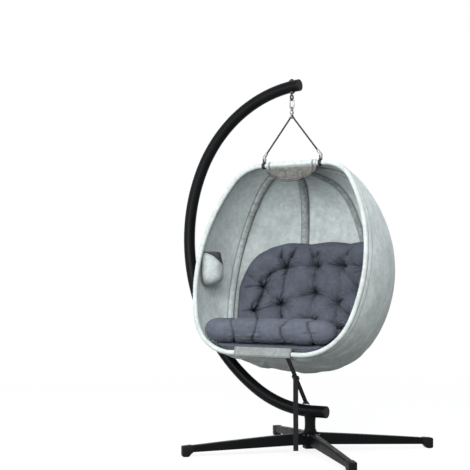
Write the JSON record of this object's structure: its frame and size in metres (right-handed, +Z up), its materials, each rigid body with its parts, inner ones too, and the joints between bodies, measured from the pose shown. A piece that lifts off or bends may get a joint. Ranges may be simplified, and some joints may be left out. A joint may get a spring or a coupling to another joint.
{
  "type": "hanging chair",
  "caption": "Egg-shaped fabric pod chair with a tufted cushion, ribbed folding frame and cup pocket, hung by a swivel and rope from a C-shaped tube stand with a crossed foot and a tether",
  "frame": {"origin": "on the floor under the middle of the whole object's bounding box", "axes": "+Z up, the pod faces -Y, the stand's arm stands on the -X side, +X to the sitter's left"},
  "size_m": [1.2964, 1.038, 1.9747],
  "materials": {
    "stand_metal": "satin powder coat",
    "foot_plastic": "moulded, satin",
    "hardware": "zinc plated",
    "webbing": "woven webbing",
    "slider_plastic": "moulded",
    "rope": "braided cord",
    "pod_tube": "powder coat",
    "fitting_plastic": "moulded",
    "shell_cloth": "brushed polyester",
    "band_cloth": "brushed polyester",
    "mesh": "open knitted mesh",
    "cushion_cloth": "plain weave"
  },
  "bodies": {
    "stand": {"hub": "stand_metal", "post": "stand_metal", "lower_arm": "stand_metal", "upper_arm": "stand_metal", "arm_spigot": "stand_metal", "stub_cap": "foot_plastic", "tip_cap": "foot_plastic", "strap_anchor": "stand_metal", "eye_bolt": "hardware", "eye_nut": "hardware", "eye_washer": "hardware", "tether_lower": "webbing", "strap_slider": "slider_plastic", "strap_tail": "webbing", "tether_upper": "webbing", "leg_1": "stand_metal", "foot_1": "foot_plastic", "leg_2": "stand_metal", "foot_2": "foot_plastic", "leg_3": "stand_metal", "foot_3": "foot_plastic", "leg_4": "stand_metal", "foot_4": "foot_plastic", "leg_bolt_1": "hardware", "leg_bolt_2": "hardware", "leg_bolt_3": "hardware", "leg_bolt_4": "hardware", "leg_bolt_5": "hardware", "leg_bolt_6": "hardware", "leg_bolt_7": "hardware", "leg_bolt_8": "hardware"},
    "hook": {"carabiner": "hardware"},
    "gate": {"carabiner_gate": "hardware"},
    "swivel": {"swivel_top": "hardware"},
    "hanger": {"swivel_bottom": "hardware", "suspension_rope": "rope", "rope_shackle_left": "hardware", "rope_shackle_right": "hardware"},
    "pod": {"front_hoop": "pod_tube", "rim_sleeve": "shell_cloth", "shell_fabric": "shell_cloth", "top_hub": "fitting_plastic", "bottom_hub": "fitting_plastic", "head_cover": "band_cloth", "bottom_flap": "shell_cloth", "cup_pocket": "shell_cloth", "pocket_mesh": "mesh", "seat_cushion": "cushion_cloth", "front_roll": "cushion_cloth", "back_cushion": "cushion_cloth", "bar_fitting_left": "fitting_plastic", "bar_fitting_right": "fitting_plastic", "rib_1": "pod_tube", "rib_sleeve_1": "band_cloth", "rib_2": "pod_tube", "rib_sleeve_2": "band_cloth", "rib_3": "pod_tube", "rib_sleeve_3": "band_cloth", "rib_4": "pod_tube", "rib_sleeve_4": "band_cloth"}
  },
  "joints": [
    {"name": "hook_sway", "type": "hinge", "parent": "stand", "child": "hook", "pos_m": [0.045, -0.02088, 1.86106], "axis": [0, 1, 0], "range_deg": [-1.5, 0.5]},
    {"name": "pod_swing", "type": "hinge", "parent": "hook", "child": "swivel", "pos_m": [0.045, -0.02088, 1.81586], "axis": [1, 0, 0], "range_deg": [0, 5], "deforming": ["tether_upper"]},
    {"name": "pod_spin", "type": "hinge", "parent": "swivel", "child": "hanger", "pos_m": [0.045, -0.02088, 1.78891], "axis": [0, 0, 1], "range_deg": [0, 12]},
    {"name": "pod_tilt", "type": "hinge", "parent": "hanger", "child": "pod", "pos_m": [0.045, -0.02088, 1.542], "axis": [1, 0, 0], "range_deg": [0, 6]},
    {"name": "gate_open", "type": "hinge", "parent": "hook", "child": "gate", "pos_m": [0.056, -0.02088, 1.83146], "axis": [0, 1, 0], "range_deg": [-24, 0], "stiffness_Nm_per_rad": 0.05, "springref_deg": 17.19}
  ]
}
